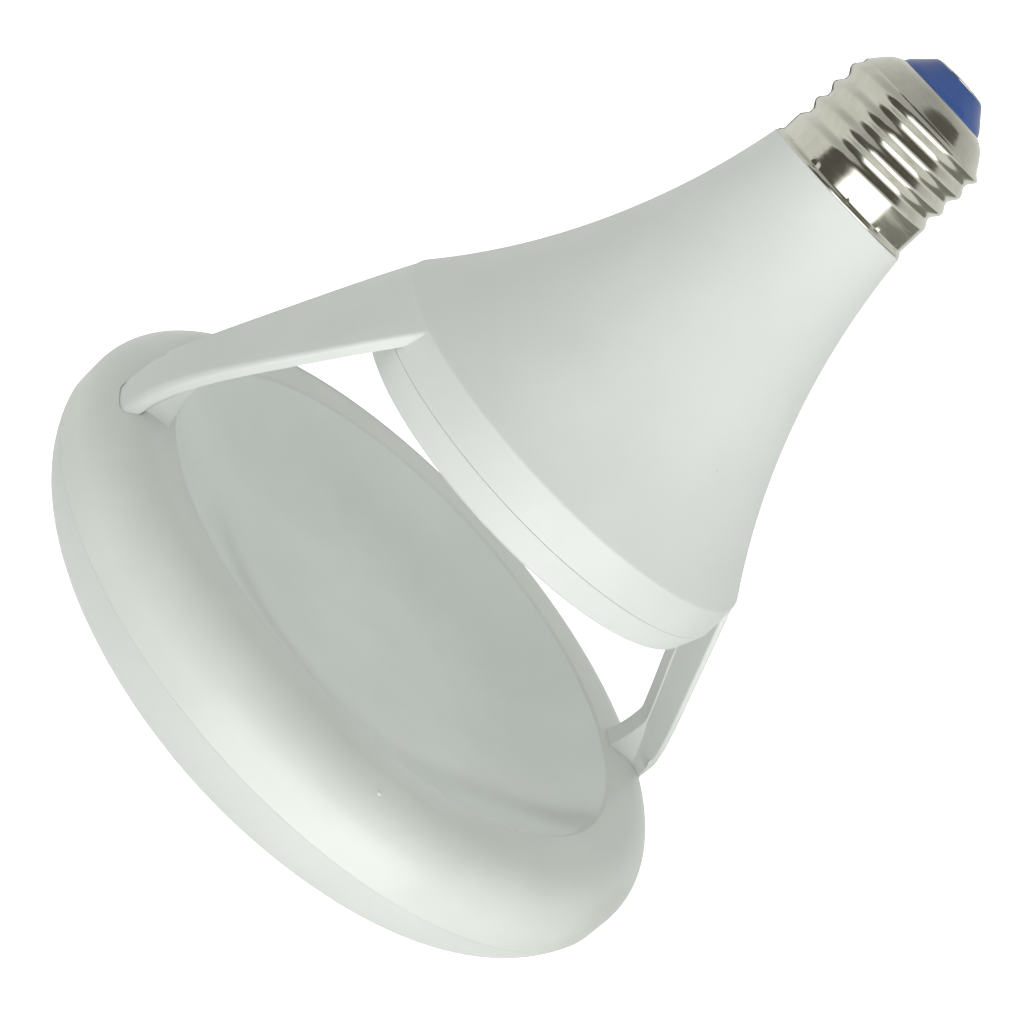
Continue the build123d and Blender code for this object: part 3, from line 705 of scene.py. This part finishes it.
def arm_core(z):
    """Radius of the inner side of the arm's middle at a height. The lower part is thinner."""
    return arm_face(z) - arm_t + arm_thinning * max(0.0, arm_share(z) - thin_from)


def arm_half(z):
    """Half width of the arm at a height, on its narrow side."""
    return arm_top_half - arm_taper * (arm_top_z - max(z, arm_tip_z))


def tongue_end(y, grow):
    """How far out the tongue's rounded end reaches at a distance from its middle line."""
    aside = min(1.0, abs(y - tongue_shift) / (tongue_half + grow))
    return arm_tip_r + grow - tongue_depth * (1 - math.sqrt(1 - aside ** 2))


def face_rounding(share, thickness):
    """Rounding of the outer face's edge, as large as the thickness of that edge leaves room for."""
    return min(face_round + face_round * share ** 2, face_share * thickness - face_rest)


def arm_slice(z, grow, side):
    """Closed slice of one arm at a height, grown on all sides by a given distance."""
    share = arm_share(z)
    face = arm_face(z) + grow
    half = arm_half(z) + grow
    wide = half + arm_spread * min(1.0, share) ** spread_power
    outer = math.sqrt(face ** 2 - half ** 2)
    outer_wide = math.sqrt(face ** 2 - wide ** 2)
    core = arm_core(z) - grow
    rib = rib_half + grow + rib_growth * share
    foot = core - rib_step
    down = max(0.0, (elbow_z - z) / (elbow_z - crest_z))
    if down > 0:
        line = elbow_r + (foot_r - elbow_r) * down + 4 * foot_hollow * down * (1 - down)
        foot = min(foot, line - grow)
    down = min(1.0, down)
    drift = rib_drift[side] * share
    spread = rib + rib_flare[side] * (core - foot - rib_step)
    spread_wide = min(spread, wide - drift - foot_margin_wide)
    spread_half = min(spread, half + drift - foot_margin)
    broader = foot_wide[side] * down
    soft = rib_round * min(1.0, core - foot)
    edges = [(far_edge_t + grow, far_edge_round), (near_edge_t[side] + grow, near_edge_round[side])]
    (plus, plus_round), (minus, minus_round) = edges[::side]
    plus_round = min(plus_round + foot_melt * down, inner_share * plus)
    corners = [(outer_wide, wide, face_rounding(share, plus)), (outer_wide - plus, wide, plus_round),
               (core, drift + spread_wide, soft), (foot, drift + rib + broader, soft),
               (foot, drift - rib, soft), (core, drift - spread_half, soft),
               (outer - minus, -half, minus_round), (outer, -half, face_rounding(share, minus))]
    span = wide + half - 2 * face_margin
    across = [face_margin - half + span * i / FACE_STEPS for i in range(FACE_STEPS + 1)]
    middle = [(math.sqrt(face ** 2 - y ** 2), y) for y in across]
    points = rounded(corners + middle)
    depths = [max(0.0, math.sqrt(face ** 2 - p.y ** 2) - p.x) for p in points]
    return [(min(p.x, tongue_end(p.y, grow) - end_slope * depth), p.y) for p, depth in zip(points, depths)]


print("an arm runs from", arm_top_z, "down to", round(arm_tip_z, 2), "mm")

# %% Arms
ARM_LEVELS = 72
SCAN_LEVELS = 400
scan_below = 6.0        # how far below the rim's crest the slices go on
foot_inset = 0.15       # points further in than this from the arm's middle belong to the rib and its foot
seat_gap = 0.05         # between the tongue and the floor of its pocket
foot_gap = 0.03         # between the foot and the rim
cover_gap = 0.08        # between an arm and the cover


def arm_columns(side, grow, tongue_sunk, foot_sunk):
    """Columns of points down the arm, one for each point of its slice, each ending at a depth in the rim."""
    low = crest_z - scan_below
    heights = [arm_top_z + (low - arm_top_z) * i / SCAN_LEVELS for i in range(SCAN_LEVELS + 1)]
    slices = [arm_slice(z, grow, side) for z in heights]
    columns = []
    for index in range(len(slices[0])):
        line = [Vector((s[index][0], s[index][1], z)) for s, z in zip(slices, heights)]
        end = SCAN_LEVELS
        for level, point in enumerate(line):
            inside = point.x < arm_core(point.z) - grow - foot_inset
            depth = foot_sunk if inside else tongue_sunk
            if point.z < rim_top(point.xy.length) - depth:
                end = level
                break
        column = [line[round(end * i / ARM_LEVELS)] for i in range(ARM_LEVELS + 1)]
        leans = [math.radians(lean_top + lean_turn[side] * arm_share(point.z)) for point in column]
        columns.append([Matrix.Rotation(lean, 3, "Z") @ point for lean, point in zip(leans, column)])
    print("an arm has", len(columns), "columns of", ARM_LEVELS + 1, "points")
    return columns


def arm(name, side, columns):
    """One arm as a closed skin, on the side of +X or -X."""
    shape = bmesh.new()
    grid = [[shape.verts.new((side * p.x * MM, side * p.y * MM, p.z * MM)) for p in line] for line in columns]
    for here, beside in zip(grid, grid[1:] + grid[:1]):
        for level in range(ARM_LEVELS):
            shape.faces.new((here[level], beside[level], beside[level + 1], here[level + 1]))
    top_cap = shape.faces.new([line[0] for line in reversed(grid)])
    low_cap = shape.faces.new([line[-1] for line in grid])
    bmesh.ops.triangulate(shape, faces=[top_cap, low_cap])
    if shape.calc_volume(signed=True) < 0:
        bmesh.ops.reverse_faces(shape, faces=shape.faces)
    mesh = bpy.data.meshes.new(name)
    shape.to_mesh(mesh)
    shape.free()
    return put(name, mesh)


def cut(piece, tool, operation):
    """Joins a tool to a piece or takes it away, and removes the tool."""
    boolean = piece.modifiers.new(operation, "BOOLEAN")
    boolean.object = tool
    boolean.operation = operation
    boolean.solver = "EXACT"
    made_plain(piece)
    bpy.data.objects.remove(tool)


room_top_z = lip_z + 1.0
room_r = band_bore + 0.5
room_step_z = band_z + 0.4
room_low_z = cover_z - 0.3
room_outline = [(0, room_top_z), (room_r, room_top_z), (room_r, room_step_z),
                (band_r + cover_gap, room_step_z), (cover_low_r + cover_gap, cover_z),
                (cover_low_r + cover_gap, room_low_z), (0, room_low_z)]
for label, side in (("arm_right", 1), ("arm_left", -1)):
    limb = arm(label, side, arm_columns(side, 0.0, tongue_seat - seat_gap, -foot_gap))
    cut(limb, turned("cover_room", room_outline), "DIFFERENCE")
    cut(trumpet, limb, "UNION")
smooth(trumpet, 34)
stand_for(trumpet, housing_plastic, "housing")

# %% [markdown]
# ## Bottom cover
# A shallow cup closes the housing. Only its outer band and its underside show. The edge that meets the
# housing is slightly rounded, so that the seam reads as a fine line with a shadow in it.

# %% Bottom cover
cover_top_z = band_z - 0.05
cover_floor_z = -65.8
sleeve_r = 36.25        # the sleeve goes up inside the housing's band
sleeve_bore = 34.45
sleeve_top_z = -59.6
cover = turned("bottom_cover_cup", rounded([
    (0, cover_z), (cover_low_r, cover_z, 1.0), (band_r, cover_top_z, 0.08), (sleeve_r, cover_top_z),
    (sleeve_r, sleeve_top_z), (sleeve_bore, sleeve_top_z), (sleeve_bore, cover_floor_z), (0, cover_floor_z)]))
stand_for(smooth(cover), housing_plastic, "bottom_cover")

# %% [markdown]
# ## Head
# Rim, dish and diffuser are all turned. The rim has a flat land, a bevel at the well's edge that catches
# the light as a thin bright line, and a shallow pocket for each arm's tongue. A pocket is cut out by the
# arm's own skin, made again a little larger, so the gap is the same all round. A small pip on the
# shoulder is what the mould's gate leaves.

# %% Rim with its two pockets
HEAD_STEPS = 256
seam_half = 0.01        # half the width of a seam in the head
seam_round = 0.03
well_lip_z = edge_z - 0.45
bevel_w = 0.5
bevel_h = 0.4
bevel_round = 0.1
rim_bore = 51.35
rim_under_z = -99.8
rim_inner_r = 61.6
rim_inner_z = -105.6
rim_haunch = (59.7, -101.5)
pocket_rise = 0.25      # how far above the rim a pocket's tool ends at the foot, which has no pocket
shoulder_low_z = crest_z - shoulder_round
rim_shoulder, _ = tangent_arc((head_r, shoulder_low_z), (0, 1), (shoulder_r, crest_z), 20)
rim_outside = [(head_r, seam_z + seam_half, seam_round)] + rim_shoulder + [(shoulder_r, crest_z)]
rim_bevel = [(well_r + bevel_w, edge_z, bevel_round), (well_r, edge_z - bevel_h, bevel_round)]
rim_inside = [(well_r, well_lip_z), (rim_bore, well_lip_z), (rim_bore, rim_under_z),
              (shoulder_r, rim_under_z), rim_haunch, (rim_inner_r, rim_inner_z),
              (rim_inner_r, seam_z + seam_half)]
rim = turned("head_rim", rounded(rim_outside + rim_bevel + rim_inside), steps=HEAD_STEPS)
for label, side in (("pocket_right", 1), ("pocket_left", -1)):
    cut(rim, arm(label, side, arm_columns(side, tongue_gap, tongue_seat, -pocket_rise)), "DIFFERENCE")
gate_turn = math.radians(-99.7)
gate_r = 60.1
gate_z = rim_top(gate_r)
gate_outline = [(0, 0.24), (0.14, 0.22), (0.27, 0.14), (0.35, 0), (0.35, -0.3), (0, -0.3)]
gate = turned("gate_mark", gate_outline, steps=24)
gate_up = Vector((gate_r - shoulder_r, 0, gate_z - shoulder_low_z)).normalized()
gate_tilt = gate_up.to_track_quat("Z", "Y").to_matrix().to_4x4()
gate_seat = Matrix.Translation(Vector((gate_r, 0, gate_z)) * MM) @ gate_tilt
gate.data.transform(Matrix.Rotation(gate_turn, 4, "Z") @ gate_seat)
cut(rim, gate, "UNION")
stand_for(smooth(rim), rim_plastic, "head_ring")

# %% Dish
dish_wall = 1.4
dish_floor_r = 22.0
dish_flange_r = 51.2
dish_lip_z = well_lip_z - seam_half
dish_base_z = dish_floor_z - dish_wall
dish_under_z = under_lip_z - dish_wall
bowl, _ = tangent_arc((dish_floor_r, dish_floor_z), (1, 0), (well_r, dish_lip_z), 30)
bowl_under, _ = tangent_arc((dish_floor_r, dish_base_z), (1, 0), (dish_flange_r, dish_under_z), 20)
dish_edge = [(well_r, dish_lip_z), (dish_flange_r, dish_lip_z), (dish_flange_r, dish_under_z)]
dish_outline = [(0, dish_floor_z)] + bowl + dish_edge + bowl_under[::-1] + [(0, dish_base_z)]
dish = turned("enamelled_dish", dish_outline, steps=HEAD_STEPS)
stand_for(smooth(dish), dish_enamel, "heat_dish")

# %% Diffuser
lens_wall = 2.0
middle_point = (38.0, pole_z + 4.8)
knee_point = (57.0, seam_z - 9.6)
ceiling_point = (55.0, seam_z - 8.6)
spigot_r = 61.45        # the spigot goes up inside the rim
spigot_bore = 59.45
spigot_top_z = seam_z + 3.0
dome, leave = tangent_arc((0, pole_z), (1, 0), middle_point, 24)
curve, leave = tangent_arc(middle_point, leave, knee_point, 20)
edge, _ = tangent_arc(knee_point, leave, (head_r, seam_z), 12)
spigot = [(head_r, seam_z - seam_half, seam_round), (spigot_r, seam_z - seam_half), (spigot_r, spigot_top_z),
          (spigot_bore, spigot_top_z), (spigot_bore, seam_z)]
ceiling, _ = tangent_arc((0, pole_z + lens_wall), (1, 0), ceiling_point, 24)
lens_inside = [ceiling_point] + ceiling[:0:-1] + [(0, pole_z + lens_wall)]
lens = turned("frosted_lens", rounded(dome + curve + edge + spigot + lens_inside), steps=HEAD_STEPS)
stand_for(smooth(lens), diffuser_plastic, "lens")

# %% [markdown]
# ## Studio
# The lamp is shown free in the air, as in a cut-out product picture. A pale cove runs all round it, and
# it carries a painted pool of light, which glows in the part behind the lamp in place of a lit backdrop.
# The key is a large soft box to the right of the camera that reaches low down, and the air is dimmer
# overhead. Dark cards stand to the left, above and behind the lamp, and a paler one to the right. They
# give the metal cap something to mirror, so its edges stand out against the white.

# %% Cove
floor_z = -1000.0
cove_r = 3000.0
cove_bend = 700.0       # radius of the bend from floor to wall
cove_sag = -205.0       # its bow
cove_flat_r = 900.0
cove_top_z = 1300.0
pool_core = math.radians(28)    # the glow is full within this angle of the camera's own line
pool_edge = math.radians(42)    # and ends at this one
pool_glow = 0.9
cove_wall = bowed((cove_r - cove_bend, floor_z), (cove_r, floor_z + cove_bend), cove_sag, 16)
cove_outline = [(0, floor_z), (cove_flat_r, floor_z)] + cove_wall
cove_outline += [(cove_r, floor_z + cove_bend), (cove_r, cove_top_z)]
cove = turned("studio_cove", cove_outline, steps=96, closed=False)
smooth(cove, 40)
material, tree, place = new_finish("matt_white_cove_with_painted_glow")
# the emission is a painted pool of light on the cove, full along the camera's line and fading past it
away = add(tree, "ShaderNodeVectorMath", {0: place, 1: camera_place}, operation="SUBTRACT")
line = add(tree, "ShaderNodeVectorMath", {0: away}, operation="NORMALIZE")
toward = add(tree, "ShaderNodeVectorMath", {0: line, 1: view_line.normalized()},
             operation="DOT_PRODUCT")
pool = add(tree, RANGE, {"Value": toward.outputs["Value"], "From Min": math.cos(pool_edge),
                         "From Max": math.cos(pool_core), "To Min": 0.0, "To Max": pool_glow},
           interpolation_type="SMOOTHSTEP")
paint = add(tree, "ShaderNodeTexNoise", {"Vector": place, "Scale": per_mm(300), "Detail": 2.0})
tint = add(tree, "ShaderNodeValToRGB", {"Fac": paint})
set_ramp(tint, (0.3, "#eef0ee"), (0.7, "#f2f3f1"))
shader = add(tree, "ShaderNodeBsdfPrincipled", {"Base Color": tint, "Roughness": 0.9,
                                                "Emission Color": linear("#ffffff"),
                                                "Emission Strength": pool})
add(tree, "ShaderNodeOutputMaterial", {"Surface": shader})
cove.data.materials.append(material)
cove.visible_glossy = False
print("cove is", round(2 * cove_r / 1000, 1), "m across")

# %% Light
lamp_middle = Vector((0, 0, -60)) * MM


def from_lamp(azimuth, elevation, distance):
    """A place seen from the lamp's middle, by angles in degrees and a distance in metres."""
    a = math.radians(azimuth)
    e = math.radians(elevation)
    along = math.cos(e)
    return lamp_middle + distance * Vector((along * math.cos(a), along * math.sin(a), math.sin(e)))


def facing_lamp(item, azimuth, elevation, distance):
    """Places a light or card at those angles, turned to face the lamp."""
    item.location = from_lamp(azimuth, elevation, distance)
    item.rotation_euler = (lamp_middle - item.location).to_track_quat("-Z", "Y").to_euler()


world = bpy.data.worlds.new("studio_air")
world.use_nodes = True
air = world.node_tree
direction = add(air, "ShaderNodeTexCoord", {})
upright = add(air, "ShaderNodeSeparateXYZ", {"Vector": direction.outputs["Generated"]})
height = add(air, RANGE, {"Value": upright.outputs["Z"], "From Min": -1.0, "From Max": 1.0})
shade = add(air, "ShaderNodeValToRGB", {"Fac": height})
set_ramp(shade, (0.5, "#e4e6e3"), (0.75, "#d7d9d6"), (1.0, "#abadaa"))
air.links.new(shade.outputs["Color"], air.nodes["Background"].inputs["Color"])
bpy.context.scene.world = world
key_data = bpy.data.lights.new("soft_box", "AREA")
key_data.shape = "RECTANGLE"
key_data.size = 1.5
key_data.size_y = 1.02
key_data.energy = 7.9
key = bpy.data.objects.new("soft_box", key_data)
bpy.context.scene.collection.objects.link(key)
facing_lamp(key, -91.0, -16.6, 1.05)
key.visible_camera = False
bpy.context.scene.view_settings.view_transform = "Standard"
print("soft box stands at", [round(c, 2) for c in key.location])

# %% Cards
def card(name, azimuth, elevation, distance, width, height, finish):
    """A flat card that faces the lamp, by angles in degrees and sizes in metres."""
    shape = bmesh.new()
    bmesh.ops.create_grid(shape, x_segments=2, y_segments=2, size=0.5)
    mesh = bpy.data.meshes.new(name)
    shape.to_mesh(mesh)
    shape.free()
    sheet = put(name, mesh)
    sheet.scale = (width, height, 1.0)
    facing_lamp(sheet, azimuth, elevation, distance)
    sheet.visible_camera = False
    sheet.visible_diffuse = False
    sheet.visible_shadow = False
    sheet.data.materials.append(finish)
    print(name, "is", width, "by", height, "m")


pale_felt = two_shade("pale_felt_card", "#8b8c84", "#93948c", 40.0, 0.8, 0.95, 3.0)
grey_felt = two_shade("grey_felt_card", "#524e49", "#5c5751", 40.0, 0.8, 0.95, 3.0)
card("left_card", -150.0, 0, 0.75, 0.57, 2.2, grey_felt)
card("top_card", -82.0, 62, 1.0, 1.2, 0.65, grey_felt)
card("right_card", -14.0, -15, 0.9, 1.6, 0.7, pale_felt)
card("back_card", 72.4, 0, 0.9, 0.35, 0.35, grey_felt)
